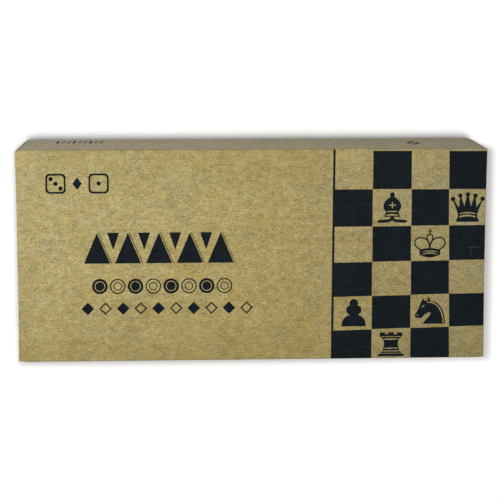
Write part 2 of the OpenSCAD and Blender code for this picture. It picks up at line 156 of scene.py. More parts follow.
# Lowest and highest u of an outline at height v; the outline is a list of (u, v)
def spanAt(outline, v):
    found = []
    for (u0, v0), (u1, v1) in zip(outline, outline[1:] + outline[:1]):
        if (v0 - v) * (v1 - v) <= 0 and v0 != v1:
            found.append(u0 + (u1 - u0) * (v - v0) / (v1 - v0))
    return min(found), max(found)


# A flap of board: flutes run along u, place(u, v, w) gives the point, w grows from inside to outside,
# and the outer liner starts at outerStart, where that of the crease gives way to it
def flapBoard(outline, place, outerStart):
    liner, half, count = boardMake["liner"], boardMake["medium"] / 2, boardMake["across"]
    nudge = 1e-4
    heights = [v for u, v in outline]
    stations = spread(min(heights) + nudge, max(heights) - nudge, boardMake["waveStep"])

    def layer(bottom, top, startAt=None, inset=0.0):
        lower, upper = [], []
        for v in stations:
            first, last = spanAt(outline, v)
            first = first if startAt is None else startAt
            last = max(last - inset, first + nudge)
            for line, w in ((lower, bottom(v)), (upper, top(v))):
                line.append([place(first + (last - first) * k / count, v, w) for k in range(count + 1)])
        return shellBetween(lower, upper)

    return joinShells([
        layer(lambda v: 0.0, lambda v: liner),
        layer(lambda v: waveHeight(v) - half, lambda v: waveHeight(v) + half, inset=boardMake["coreInset"]),
        layer(lambda v: board - liner, lambda v: board, startAt=outerStart),
    ])


tubeMake = {
    "foldRadius": 1.3,
    "arcSteps": 6,
    "panelStep": 3.4,  # spacing of points round the tube
    "lengthStep": 5.0,  # spacing of points along it
    "frontDip": 0.3,  # how far the front sinks between its folds
    "frontEdge": (0.85, 0.1),  # height, of -1 to 1, where the front begins, and within which it does
    "sideBow": 0.35,  # how far the long sides draw in
    "sideEdge": (0.96, 0.02),  # and the same for the sides, in shares of the half width
    "endHollow": 0.45,  # how far the front's raw ends draw in at their middle
    "linerStop": 1.0,  # where the outer liner gives way to a crease
    "coreStop": 0.4,  # and the core
    "innerRadii": (0.5, 0.2),  # fold radius of the inner liner's two faces, beyond their depth
    "coverDrop": 0.03,  # room for the ink inside the carton's overall depth
    "seamDepth": 0.2,  # groove where the far side's raw edge meets the glued fold
    "seamWidth": 0.3,
}


def rise(value, edge):
    start, within = edge
    return max(0.0, min(1.0, (value - start) / within))


# Moves a point of the tube as real board relaxes: panels sink a little, raw ends hollow.
# The powers keep each change away from the ends, or near them.
def relaxed(x, y, z):
    m = tubeMake
    along, across, up = x / endX, y / sideY, 2 * z / topZ - 1
    front = rise(up, m["frontEdge"])
    side = rise(abs(across), m["sideEdge"]) * (1 - up ** 2)
    z -= front * (m["coverDrop"] + m["frontDip"] * (1 - across ** 2) * (1 - along ** 8))
    y -= math.copysign(side * m["sideBow"] * (1 - along ** 6), y)
    x -= front * m["endHollow"] * (1 - across ** 2) * along ** 7
    return x, y, z


# Points round the tube at a depth below its outside: (y, z, end of the board there)
def tubeRing(inset, radius, ends, step, seam=0.0):
    frontEnd, sideEnd, backEnd = ends
    wide, low, high = sideY - radius, radius, topZ - radius
    corners = [((wide, low), sideEnd), ((wide, high), frontEnd), ((-wide, high), sideEnd),
               ((-wide, low), backEnd)]
    arcs = [arcPoints(centre, radius - inset, 90 * k - 90, 90 * k, tubeMake["arcSteps"])
            for k, (centre, end) in enumerate(corners)]
    ring = []
    for k, arc in enumerate(arcs):
        before, after = corners[k - 1][1], corners[k][1]
        ring += [(y, z, before if i < len(arc) // 2 else after) for i, (y, z) in enumerate(arc)]
        (y0, z0), (y1, z1) = arc[-1], arcs[(k + 1) % 4][0]
        if k == 0:
            ring += [(y0 - drop, z0 + share * tubeMake["seamWidth"], after)
                     for drop, share in ((seam, 0.5), (seam, 1.0), (0.0, 1.5))]  # the groove's corners
        length = math.dist((y0, z0), (y1, z1))
        for s in spread(0, length, step)[1:-1]:
            ring.append((y0 + (y1 - y0) * s / length, z0 + (z1 - z0) * s / length, after))
    return ring


def tubeShell(outer, inner, radii, ends):
    xs = spread(-1, 1, tubeMake["lengthStep"] / endX)
    grids = []
    for depth, radius, seam in zip((outer, inner), radii, (0.0 if outer else tubeMake["seamDepth"], 0.0)):
        ring = tubeRing(depth, radius, ends, tubeMake["panelStep"], seam)
        grids.append([[relaxed(x * end, y, z) for x in xs] for y, z, end in ring])
    return shellBetween(grids[1], grids[0], ring=True)


# The fluted core shows at the raw ends, so it is made there only
def tubeCore(side, ends):
    grids = ([], [])
    travelled = 0.0
    ring = tubeRing(0, tubeMake["foldRadius"], ends, boardMake["waveStep"])
    for k, (y, z, end) in enumerate(ring):
        before, after = ring[k - 1], ring[(k + 1) % len(ring)]
        travelled += math.dist(before[:2], (y, z)) if k else 0
        tangent = Vector((after[0] - before[0], after[1] - before[1])).normalized()
        for grid, offset in zip(grids, (-1, 1)):
            depth = board - waveHeight(travelled) + offset * boardMake["medium"] / 2
            grid.append([relaxed(side * (end - back), y - tangent.y * depth, z + tangent.x * depth)
                         for back in (boardMake["coreDepth"], boardMake["coreInset"])])
    return shellBetween(grids[1], grids[0], ring=True)


# A bar along Y through (x, z), or along Z through (x, y)
def roundBar(centre, radius, low, high, axis):
    ring = disc(*centre, radius, boardMake["barSides"])
    verts = [(a, along, b) if axis == "y" else (a, b, along) for along in (low, high) for a, b in ring]
    count = len(ring)
    faces = [(k, (k + 1) % count, count + (k + 1) % count, count + k) for k in range(count)]
    return verts, faces + [tuple(range(count)), tuple(range(2 * count - 1, count - 1, -1))]


def finishBoard(piece, body, node):
    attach(piece, body)
    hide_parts(node)
    return piece


def buildTube():
    m, liner, inner = tubeMake, boardMake["liner"], board - boardMake["liner"]
    radius, (upper, lower) = m["foldRadius"], m["innerRadii"]

    def endsAt(back):
        return endX, dustHinge.x - back, closureHinge.x - back

    shells = [tubeShell(0, liner, (radius, radius), endsAt(m["linerStop"])),
              tubeShell(inner, board, (inner + upper, board + lower), endsAt(0))]
    shells += [tubeCore(side, endsAt(m["coreStop"])) for side in (-1, 1)]
    core = board / 2 - liner
    for side in (-1, 1):
        middle = (side * closureHinge.x, closureHinge.z)
        shells.append(roundBar(middle, core, closureLow.y, closureHigh.y, "y"))
        for edge in (-1, 1):
            middle = (side * dustHinge.x, edge * dustHinge.y)
            shells.append(roundBar(middle, core, dustLow.z, dustHigh.z, "z"))
    return finishBoard(makePiece("cartonTube", *joinShells(shells)), "carton", "carton_sleeve")


flapMake = {
    "clear": 0.83,  # from a crease to the board that turns on it
    "tongueClear": 1.9,  # more at a tongue, which folds flat enough to meet its closure
    "closureCorner": (3.0, 8),  # radius and steps
    "tongueCorner": (8.0, 12),
    "tip": (2.5, 6),  # of a dust flap
    "headSlope": 22,  # degrees
    "footSlope": 45,
    "shoulder": 7.0,  # how far out a dust flap's head starts to slope
    "tail": 1.0,  # how far a crease's liner runs on past its bend
    "creaseStep": 6.0,  # spacing of points along a crease
    "bendSteps": 10,  # and steps round its bend
}


# Every flap is drawn for the right-hand end, and side -1 mirrors it
def mirrorX(side, points):
    return [(side * x, y, z) for x, y, z in points]


# Outline of a flap whose two free corners are rounded
def roundedOutline(low, high, half, corner, steps):
    right = arcPoints((high - corner, half - corner), corner, 0, 90, steps)
    return [(low, -half), (low, half)] + right[::-1] + [(u, -v) for u, v in right]


def dustOutline():
    clear, (r, steps) = flapMake["clear"], flapMake["tip"]
    foot, head, tip = dustLow.z, dustHigh.z, dustHinge.y - dustLow.y - r
    up, down = math.radians(flapMake["footSlope"]), math.radians(flapMake["headSlope"])
    low = (tip, foot + (tip - clear) * math.tan(up) + r / math.cos(up))
    high = (tip, head - (tip - flapMake["shoulder"]) * math.tan(down) - r / math.cos(down))
    return ([(clear, foot)] + arcPoints(low, r, flapMake["footSlope"] - 90, 0, steps)
            + arcPoints(high, r, 0, 90 - flapMake["headSlope"], steps)
            + [(flapMake["shoulder"], head), (clear, head)])


def buildFlap(name, body, node, side, outline, place, outerStart, bars=()):
    verts, faces = joinShells([flapBoard(outline, place, outerStart), *bars])
    return finishBoard(makePiece(name, mirrorX(side, verts), faces), body, node)


def buildFlaps(word, side):
    m, half = flapMake, board / 2
    tail = m["clear"] + m["tail"]
    bar = roundBar((closureHinge.x, tongueHinge.z), half - boardMake["liner"], tongueLow.y, tongueHigh.y, "y")
    closure = roundedOutline(closureHinge.z + m["clear"], tongueHinge.z, closureHigh.y, *m["closureCorner"])
    tongue = roundedOutline(m["tongueClear"], tongueHinge.x - tongueLow.x, tongueHigh.y, *m["tongueCorner"])
    made = [buildFlap(word + "ClosureBoard", word + "_end", word + "_closure", side, closure,
                      lambda u, v, w: (closureHinge.x - half + w, v, u), closureHinge.z + tail, [bar]),
            buildFlap(word + "TongueBoard", word + "_tuck", word + "_tongue", side, tongue,
                      lambda u, v, w: (tongueHinge.x - u, v, tongueHinge.z - half + w), tail)]
    for place, edge in (("far", 1), ("near", -1)):
        made.append(buildFlap(word + "DustFlap" + place.capitalize(), word + "_dust_" + place,
                              word + "_dust_flap_" + place, side, dustOutline(),
                              lambda u, v, w: (dustHinge.x - half + w, edge * (dustHinge.y - u), v), tail))
    return made


# A line that bends about a centre, and runs straight on for a reach at each end
def bentLine(centre, radius, angles, reaches):
    sense = 1 if angles[1] > angles[0] else -1
    ends = []
    for angle, reach, turn in zip(angles, reaches, (-sense, sense)):
        a = math.radians(angle)
        ends.append((centre[0] + radius * math.cos(a) - turn * reach * math.sin(a),
                     centre[1] + radius * math.sin(a) + turn * reach * math.cos(a)))
    return [ends[0]] + arcPoints(centre, radius, *angles, flapMake["bendSteps"]) + [ends[1]]


# The outer liner that bends round a crease, from one body's panel to the other's.
# The hinge is (a, b) in the plane across the crease, and place(a, b, along) gives a point.
def buildCrease(name, hinge, angles, before, place, low, high, side):
    half, reaches = board / 2, (before, flapMake["clear"] + flapMake["tail"])
    rows = spread(low, high, flapMake["creaseStep"])
    grids = [[[place(a, b, along) for a, b in bentLine(hinge, radius, angles, reaches)] for along in rows]
             for radius in (half - boardMake["liner"], half)]
    verts, faces = shellBetween(*grids)
    piece = makePiece(name, mirrorX(side, verts), faces)
    bend = [place(*arcPoints(hinge, half, a, a, 1)[0], (low + high) / 2) for a in angles]
    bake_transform(piece)
    return piece


def buildCreases(word, side):
    stop, tail, end = tubeMake["linerStop"], flapMake["tail"], word + "_end"
    closure, tongue = (closureHinge.x, closureHinge.z), (tongueHinge.x, tongueHinge.z)
    made = [buildCrease(word + "ClosureCrease", closure, (-90, 0), stop, lambda a, b, along: (a, along, b),
                        closureLow.y, closureHigh.y, side),
            buildCrease(word + "TongueCrease", tongue, (0, 90), tail, lambda a, b, along: (a, along, b),
                        tongueLow.y, tongueHigh.y, side)]
    for place, edge in (("far", 1), ("near", -1)):
        made.append(buildCrease(word + "DustCrease" + place.capitalize(), (dustHinge.x, dustHinge.y), (90, 0),
                                stop, lambda a, b, along: (a, edge * b, along), dustLow.z, dustHigh.z,
                                side))
    return made


kraftPieces = [buildTube()]
for word, side in (("right", 1), ("left", -1)):
    kraftPieces += buildFlaps(word, side) + buildCreases(word, side)
print("carton board built,", len(kraftPieces), "pieces")

printMake = {
    "film": 0.045,  # thickness of the ink, most of it sunk in the board
    "edgeStep": 4.0,  # longest straight side in an outline
    "reach": 68.0,  # the columns below are given at this Y and at minus this Y
    "columns": [(52.8, 52.0), (76.8, 76.9), (101.6, 102.1), (125.5, 127.5)],
    "from": 53.0,  # the rows below are given at this X and at the carton's end
    "rows": [(67.4, 66.7), (42.5, 42.1), (18.1, 18.9), (-5.1, -3.8), (-27.6, -25.6), (-49.6, -47.2)],
    "border": 1.45,  # width of the line at the left of the board
    "foldMargin": 0.35,  # bare board left along the near fold
    "endMargin": 0.15,  # and at the right-hand end
    "cellGap": 0.14,  # bare board between two cells that meet at a corner
}


def densify(loop, step):
    result = []
    for a, b in zip(loop, loop[1:] + loop[:1]):
        count = max(1, math.ceil(math.dist(a, b) / step))
        result += [(a[0] + (b[0] - a[0]) * k / count, a[1] + (b[1] - a[1]) * k / count) for k in range(count)]
    return result


def onFront(x, y, height):
    px, py, pz = relaxed(x, y, topZ)
    return px, py, pz + height


def onFarSide(x, z, height):
    px, py, pz = relaxed(x, sideY, z)
    return px, py + height, pz


# Thin closed films of ink that follow a panel; each shape is an outline and its holes
def inkPiece(name, shapes, lift=inkGap, place=onFront):
    shells = []
    for loops in shapes:
        loops = [densify(loop, printMake["edgeStep"]) for loop in loops]
        flat = [p for loop in loops for p in loop]
        count = len(flat)
        verts = [place(a, b, height) for height in (lift - printMake["film"], lift) for a, b in flat]
        faces = []
        for a, b, c in tessellate_polygon([[Vector((x, y, 0)) for x, y in loop] for loop in loops]):
            faces += [(count + a, count + b, count + c), (a, c, b)]
        base = 0
        for size in map(len, loops):
            for a, b in ((base + k, base + (k + 1) % size) for k in range(size)):
                faces.append((a, b, count + b, count + a))
            base += size
        shells.append((verts, faces))
    piece = makePiece(name, *joinShells(shells))
    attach(piece, "carton")
    return piece


def rectangle(x0, y0, x1, y1):
    return [(x0, y0), (x1, y0), (x1, y1), (x0, y1)]


# A column's line as x at a height y, and a row's line as y at a place x
def columnAt(index, y):
    if index == len(printMake["columns"]):
        return endX - printMake["endMargin"]
    top, bottom = printMake["columns"][index]
    return (top + bottom) / 2 + (top - bottom) / 2 * y / printMake["reach"]


def rowAt(index, x):
    if index == len(printMake["rows"]):
        return printMake["foldMargin"] - sideY
    left, right = printMake["rows"][index]
    return left + (right - left) * (x - printMake["from"]) / (endX - printMake["from"])


# Where two such lines cross, closing in on it from a first guess
def corner(column, row):
    x, y = endX * 0.6, 0.0
    for _ in range(4):
        y = rowAt(row, x)
        x = columnAt(column, y)
    return x, y


def cellOutline(column, row, gap):
    grow = -1 if column == 0 else 1
    loop = []
    for c, r, sx, sy in ((column, row, grow, -1), (column, row + 1, grow, 1),
                         (column + 1, row + 1, -1, 1), (column + 1, row, -1, -1)):
        x, y = corner(c, r)
        loop.append((x + sx * gap, y + sy * gap))
    return loop


def buildBoardPrint():
    m = printMake
    rows, columns = len(m["rows"]), len(m["columns"])
    cells = [(c, r) for r in range(rows) for c in range(columns) if (r + c) % 2]
    shapes = [[cellOutline(c, r, m["cellGap"] / 2)] for c, r in cells]
    line = [(columnAt(0, y), y) for y in (sideY - m["foldMargin"], m["foldMargin"] - sideY)]
    line += [(x - m["border"], y) for x, y in reversed(line)]
    return inkPiece("boardPrint", shapes + [[line]])


# Catmull-Rom curve through points, open or closed
def curveThrough(points, steps=6, closed=False):
    count = len(points)
    result = []
    for i in range(count if closed else count - 1):
        near = [points[(i + k) % count if closed else max(0, min(count - 1, i + k))] for k in (-1, 0, 1, 2)]
        for t in (s / steps for s in range(steps)):
            result.append(tuple((2 * b + (c - a) * t + (2 * a - 5 * b + 4 * c - d) * t ** 2
                                 + (3 * b - a - 3 * c + d) * t ** 3) / 2 for a, b, c, d in zip(*near)))
    return result if closed else result + [points[-1]]


# Both sides of a figure from the points of its right side, given from the bottom up
def bothSides(right):
    return right + [(-x, y) for x, y in reversed(right) if x > 1e-6]


# A line of ink along a closed or open curve, as one outline (and a hole if it is closed)
def inkLine(points, width, closed=False):
    count = len(points)
    sides = ([], [])
    for i, p in enumerate(points):
        before = points[i - 1] if (closed or i) else p
        after = points[(i + 1) % count] if (closed or i < count - 1) else p
        direction = Vector((after[0] - before[0], after[1] - before[1])).normalized()
        for side, sign in zip(sides, (1, -1)):
            side.append((p[0] - sign * direction.y * width / 2, p[1] + sign * direction.x * width / 2))
    return [sides[0], sides[1]] if closed else [sides[0] + sides[1][::-1]]


# A curved band, as the rings of a crown are drawn: its middle, its ends and its thickness
def arched(half, middle, ends, thick, taper=0.35):
    def edge(sense):
        return [(half * t, middle + (ends - middle) * t * t + sense * thick * (1 - taper * t * t) / 2)
                for t in (k / 5 - 1 for k in range(11))]
    return edge(-1) + edge(1)[::-1]


# Every figure is drawn from the middle of its foot
def pawnFigure():
    body = curveThrough([(7.9, 0.3), (7.5, 2.9), (6.4, 5.0), (4.8, 6.7), (2.9, 7.6)])
    shoulder = curveThrough([(2.9, 7.8), (4.3, 9.0), (4.85, 10.9), (4.2, 12.9), (2.3, 13.8)])
    return [[bothSides([(7.9, 0.0)] + body + shoulder + arcPoints((0, 15.1), 2.85, -28, 90, 12))]]


def rookFigure():
    foot = curveThrough([(6.8, 1.75), (6.6, 2.4), (5.3, 3.9), (5.1, 5.6)])
    tower = curveThrough([(4.75, 5.9), (4.55, 7.5), (4.6, 9.4), (5.0, 10.8)])
    neck = curveThrough([(5.1, 11.2), (6.2, 12.3), (7.0, 13.1)])
    battlement = [(7.3, 13.4), (7.3, 15.8), (3.9, 15.8), (3.9, 14.6), (1.9, 14.6), (1.9, 15.8)]
    return [
        [bothSides([(8.6, 0.0), (8.6, 1.4), (6.8, 1.55)] + foot + tower + neck + battlement),
         rectangle(-6.3, 1.85, 6.3, 2.2), arched(5.7, 3.5, 3.5, 0.65), arched(4.4, 5.35, 5.35, 0.7),
         arched(4.9, 11.3, 11.3, 0.85, 0.6), rectangle(-6.1, 12.75, 6.1, 13.15)],
    ]


def bishopFigure():
    mitre = curveThrough([(4.0, 7.2), (4.9, 8.3), (5.75, 10.5), (5.2, 13.0), (3.6, 15.2), (1.3, 16.7)])
    arm, bar, middle = 2.3, 0.33, 11.5
    cross = [(-bar, 9.5), (bar, 9.5), (bar, middle - bar), (arm, middle - bar), (arm, middle + bar),
             (bar, middle + bar), (bar, 13.6), (-bar, 13.6), (-bar, middle + bar), (-arm, middle + bar),
             (-arm, middle - bar), (-bar, middle - bar)]
    foot = curveThrough([
        (0.0, 1.6), (1.4, 0.75), (3.6, 0.3), (6.6, 0.05), (9.0, 0.3), (9.7, 1.0), (8.6, 1.85), (5.5, 2.2),
        (2.8, 2.3), (1.5, 2.8)])
    block = [(0.8, 3.9), (4.9, 3.9), (5.25, 4.2), (4.4, 5.9), (4.1, 6.9)]
    return [
        [bothSides(foot + block + mitre + arcPoints((0, 18.3), 1.6, -50, 90, 10)),
         cross, arched(3.4, 7.45, 7.3, 0.7), arched(3.9, 5.3, 4.9, 1.0)],
    ]


def queenFigure():
    outer, inner, top = (9.6, 14.9), (4.9, 17.0), (0.0, 17.8)
    right = curveThrough([
        (7.0, 0.0), (7.35, 1.2), (6.5, 2.9), (6.3, 4.6), (6.9, 6.8), (8.2, 10.4), (9.5, 13.9)])
    right += [(8.7, 13.9), (5.7, 9.3), (5.1, 16.0), (4.1, 16.0), (2.1, 10.0), (0.65, 16.8)]
    balls = [disc(*spot, 1.45) for spot in (outer, inner, top)]
    balls += [[(-x, y) for x, y in ball] for ball in balls[:2]]
    return ([[bothSides(right), arched(5.3, 6.0, 5.2, 0.8), arched(5.3, 4.1, 3.2, 1.15)]]
            + [[ball] for ball in balls])


def kingFigure():
    stroke = 0.86
    lobe = curveThrough([
        (0.1, 6.0), (0.3, 8.0), (1.0, 10.1), (2.5, 11.8), (4.9, 12.8), (7.4, 12.8), (9.3, 11.3), (9.8, 9.0),
        (8.6, 6.9), (6.1, 5.0)])
    drop = bothSides([(0.0, 8.1), (1.3, 10.6), (1.85, 12.9), (1.2, 14.5), (0.0, 15.2)])
    top = [(6.7 * (1 - k / 5), 6.0 - 0.9 * (1 - k / 5) ** 2) for k in range(6)]
    base = [(6.7 * k / 5, 1.7 * (k / 5) ** 2) for k in range(6)]
    return [
        inkLine(lobe, stroke), inkLine([(-x, y) for x, y in lobe], stroke),
        inkLine(curveThrough(drop, closed=True), stroke, True),
        [rectangle(-0.34, 15.4, 0.34, 18.7)],
        [rectangle(-1.6, 16.7, -0.34, 17.35)], [rectangle(0.34, 16.7, 1.6, 17.35)],
        [rectangle(-0.4, 5.9, 0.4, 8.0)],
        [bothSides(base + top), arched(5.3, 4.25, 3.3, 0.7, 0.8), arched(5.3, 2.8, 1.7, 0.75, 0.8)],
    ]


def knightFigure():
    face = curveThrough([
        (-4.4, 0.1), (-3.6, 1.9), (-1.9, 3.8), (-0.4, 5.5), (0.2, 7.6), (-1.2, 7.5), (-3.1, 6.5),
        (-4.7, 5.0), (-5.6, 4.1), (-6.6, 3.9), (-7.7, 4.2), (-8.7, 3.9), (-9.7, 4.8), (-9.8, 6.2),
        (-9.2, 7.4), (-8.0, 9.4), (-7.1, 11.2), (-6.6, 13.1), (-5.8, 14.8)])
    ears = [(-5.3, 15.5), (-5.3, 17.0), (-4.2, 16.2), (-3.0, 15.3), (-1.9, 15.3), (-1.6, 16.6), (-0.8, 17.7),
            (-0.1, 16.3), (0.3, 15.0)]
    back = curveThrough([
        (2.0, 14.9), (4.4, 13.9), (6.7, 11.5), (8.4, 8.5), (9.4, 5.2), (9.7, 2.4), (9.7, 0.1)])
    mane = curveThrough([
        (-2.0, 14.3), (0.9, 14.2), (3.4, 13.0), (5.6, 10.9), (7.3, 7.9), (8.3, 4.5), (8.6, 0.8)])
    eye = [(-4.6 + 1.0 * math.cos(a), 11.8 + 0.45 * math.sin(a) + 0.5 * math.cos(a))
           for a in (2 * math.pi * k / 12 for k in range(12))]
    return [[face + ears + back, inkLine(mane, 0.75)[0], eye, disc(-8.15, 6.0, 0.5, 10)]]


# Where the foot of each figure stands, in the printed front's X and Y
figures = {
    "bishopPrint": (bishopFigure, 89.4, 20.5),
    "queenPrint": (queenFigure, 138.1, 20.9),
    "kingPrint": (kingFigure, 114.0, -2.1),
    "pawnPrint": (pawnFigure, 65.2, -47.0),
    "knightPrint": (knightFigure, 114.7, -45.9),
    "rookPrint": (rookFigure, 89.5, -67.0),
}


def buildFigures():
    made = []
    for name, (draw, x0, y0) in figures.items():
        shapes = [[[(x0 + x, y0 + y) for x, y in loop] for loop in shape] for shape in draw()]
        made.append(inkPiece(name, shapes))
    return made


# Motifs on the left of the front: dice, backgammon points, draughtsmen and lozenges; the far side has
# upright lozenges. A backgammon point's outlines are given from its middle and foot.
motifMake = {
    "dice": {"left": -131.2, "right": -91.2, "foot": 40.7, "size": 12.8, "line": 1.2, "pip": 1.4,
             "corner": 2.56, "pitch": 3.072, "lozenge": (3.0, 4.0)},
    "points": {"left": -108.2, "right": -9.6, "foot": -4.5, "count": 5, "shadow": 0.45,
               "up": [(-9.26, 0.0), (7.46, 0.0), (-0.9, 19.9)],
               "slant": [(8.36, 0.0), (0.0, 19.9)],
               "down": [(-14.06, 19.9), (-6.46, 19.9), (-10.26, 8.6)]},
    "discs": {"left": -103.4, "right": -12.4, "middle": -19.4, "count": 8,
              "filled": [(5.0, 3.4), (2.9,)], "hollow": [(5.0, 4.2), (2.75, 2.15)]},  # radii of each ring
    "lozenges": {"left": -111.2, "right": 1.7, "foot": -38.0, "half": 4.1, "count": 10, "line": 1.2},
    "sideRow": {"left": -129.2, "right": -96.8, "middle": 14.0, "half": (1.3, 8.5), "count": 9,
                "line": (0.7, 2.1)},
    "sideLarge": {"x": 107.4, "middle": 25.0, "half": (4.8, 10.5), "line": (2.1, 6.3)},
}


def roundSquare(x, y, half, corner):
    loop = []
    for k, (sx, sy) in enumerate(((1, 1), (-1, 1), (-1, -1), (1, -1))):
        centre = (x + sx * (half - corner), y + sy * (half - corner))
        loop += arcPoints(centre, corner, 90 * k, 90 * k + 90, 6)
    return loop


def dieFace(x, y, spots):
    s = motifMake["dice"]
    half, corner, line = s["size"] / 2, s["corner"], s["line"]
    shapes = [[roundSquare(x, y, half, corner), roundSquare(x, y, half - line, corner - line / 2)]]
    return shapes + [[disc(x + a * s["pitch"], y + b * s["pitch"], s["pip"])] for a, b in spots]


def lozenge(x, y, wide, high):
    return [(x + wide, y), (x, y + high), (x - wide, y), (x, y - high)]


def lozengeRing(x, y, half, line):
    return [lozenge(x, y, *half), lozenge(x, y, half[0] - line[0], half[1] - line[1])]


def middles(s):
    pitch = (s["right"] - s["left"]) / s["count"]
    return [s["left"] + (k + 0.5) * pitch for k in range(s["count"])]


def buildMotifs():
    s = motifMake["dice"]
    half = s["size"] / 2
    y = s["foot"] + half
    shapes = dieFace(s["left"] + half, y, [(-1, 1), (0, 0), (1, -1)])
    shapes += dieFace(s["right"] - half, y, [(0, 0)])
    made = {"dicePrint": shapes + [[lozenge((s["left"] + s["right"]) / 2, y, *s["lozenge"])]]}

    s = motifMake["points"]
    shapes = []
    for k, x in enumerate(middles(s)):
        up, slant, down = ([(x + a, s["foot"] + b) for a, b in s[word]] for word in ("up", "slant", "down"))
        shapes += [[up], inkLine(slant, s["shadow"])] + ([[down]] if k else [])
    made["pointsPrint"] = shapes

    s = motifMake["discs"]
    made["discsPrint"] = [[disc(x, s["middle"], radius) for radius in ring] for k, x in enumerate(middles(s))
                          for ring in s["hollow" if k % 2 else "filled"]]

    s = motifMake["lozenges"]
    pair = (s["half"], s["half"]), (s["line"], s["line"])
    made["lozengesPrint"] = [lozengeRing(x, s["foot"] + s["half"], *pair)[:1 + k % 2]
                             for k, x in enumerate(middles(s))]
    return [inkPiece(name, shapes) for name, shapes in made.items()]


def buildSideMarks():
    s, large = motifMake["sideRow"], motifMake["sideLarge"]
    shapes = [lozengeRing(x, s["middle"], s["half"], s["line"])[:2 if k % 3 else 1]
              for k, x in enumerate(middles(s))]
    shapes.append(lozengeRing(large["x"], large["middle"], large["half"], large["line"]))
    return inkPiece("sidePrint", shapes, place=onFarSide)


# Where the tongue's edge has rubbed the print from below, near the right-hand end
rubMake = {
    "line": [(139.4, 4.1), (140.9, 3.95), (144.4, 4.15), (146.4, 4.4), (146.4, 4.6), (144.4, 4.65),
             (140.9, 4.45), (139.4, 4.3)],
    "stem": (140.8, 3.0, 141.0, -1.6),
    "height": 0.04,  # above the ink, whose flat cells bridge the hollow of the front
}


def buildRubMark():
    return inkPiece("rubMark", [[rubMake["line"]], [rectangle(*rubMake["stem"])]], inkGap + rubMake["height"])


rubMark = buildRubMark()
inkPieces = [buildBoardPrint()] + buildFigures() + buildMotifs() + [buildSideMarks()]
print("print laid on the front,", len(inkPieces), "pieces")


# Adds nodes to a tree; what an input is given is a constant, or a socket to link to it
class NodeKit:
    def __init__(self, tree):
        self.tree = tree

    def put(self, socket, value):
        if isinstance(value, bpy.types.NodeSocket):
            self.tree.links.new(value, socket)
        else:
            socket.default_value = value

    def add(self, kind, values=(), **settings):
        node = self.tree.nodes.new(kind)
        for key, value in settings.items():
            setattr(node, key, value)
        for key, value in dict(values).items():
            self.put(node.inputs[key], value)
        return node

    def math(self, operation, *values, clamp=False):
        return self.add("ShaderNodeMath", enumerate(values), operation=operation, use_clamp=clamp).outputs[0]

    def times(self, *values):
        result = values[0]
        for value in values[1:]:
            result = self.math("MULTIPLY", result, value)
        return result

    # base + value * share
    def raised(self, value, share, base, clamp=False):
        return self.math("MULTIPLY_ADD", value, share, base, clamp=clamp)

    def vector(self, operation, *values):
        return self.add("ShaderNodeVectorMath", enumerate(values), operation=operation).outputs["Value"]

    def parts(self, vector):
        return self.add("ShaderNodeSeparateXYZ", {0: vector}).outputs

    def ramp(self, source, low, high):
        given = {"Value": source, "From Min": low, "From Max": high}
        node = self.add("ShaderNodeMapRange", given, clamp=True, interpolation_type="SMOOTHSTEP")
        return node.outputs["Result"]

    def mix(self, factor, first, second, blend="MIX"):
        given = {0: factor, 6: first, 7: second}
        return self.add("ShaderNodeMix", given, data_type="RGBA", blend_type=blend).outputs[2]

    def stretch(self, source, scale, turn=0.0, move=(0, 0, 0)):
        given = {"Vector": source, "Scale": scale, "Rotation": (0, 0, turn), "Location": move}
        return self.add("ShaderNodeMapping", given).outputs["Vector"]

    def noise(self, vector, stretch, scale, detail, roughness, turn=0.0):
        given = {"Vector": self.stretch(vector, stretch, turn), "Scale": scale, "Detail": detail,
                 "Roughness": roughness}
        return self.add("ShaderNodeTexNoise", given).outputs["Fac"]

    def group(self, group, **values):
        return self.add("ShaderNodeGroup", values, node_tree=group).outputs

    # 1 for the rays that show a thing to the camera, straight or in glossy and clear surfaces
    def seenRays(self):
        rays = self.add("ShaderNodeLightPath").outputs
        seen = self.math("MAXIMUM", rays["Is Camera Ray"], rays["Is Glossy Ray"])
        return self.math("MAXIMUM", seen, rays["Is Transmission Ray"])

    def feed(self, **values):
        for key, value in values.items():
            self.put(self.shader.inputs[key.replace("_", " ")], value)

    def bump(self, height, strength, distance):
        node = self.add("ShaderNodeBump", {"Height": height, "Strength": strength, "Distance": distance})
        self.feed(Normal=node.outputs["Normal"])

    # Sets out the nodes in columns, counted back from the output
    def arrange(self):
        column = {node.name: 0 for node in self.tree.nodes}
        for _ in self.tree.nodes:
            for link in self.tree.links:
                here, there = link.from_node.name, link.to_node.name
                column[here] = max(column[here], column[there] + 1)
        taken = dict.fromkeys(column.values(), 0)
        for name, k in column.items():
            self.tree.nodes[name].location = (-200 * k, -300 * taken[k])
            taken[k] += 1


# A group's inputs are given with their defaults; Vector, Color, Light and Dark say their own kinds
def newGroup(name, inputs, outputs):
    kinds = {"Vector": "NodeSocketVector", **dict.fromkeys(("Color", "Light", "Dark"), "NodeSocketColor")}
    kit = NodeKit(bpy.data.node_groups.new(name, "ShaderNodeTree"))
    sockets = kit.tree.interface
    for label, value in inputs.items():
        socket = sockets.new_socket(label, in_out="INPUT", socket_type=kinds.get(label, "NodeSocketFloat"))
        if value is not None:
            socket.default_value = value
    for label in outputs:
        sockets.new_socket(label, in_out="OUTPUT", socket_type=kinds.get(label, "NodeSocketFloat"))
    return kit, kit.add("NodeGroupInput").outputs


def closeGroup(kit, **results):
    kit.add("NodeGroupOutput", results)
    kit.arrange()
    return kit.tree


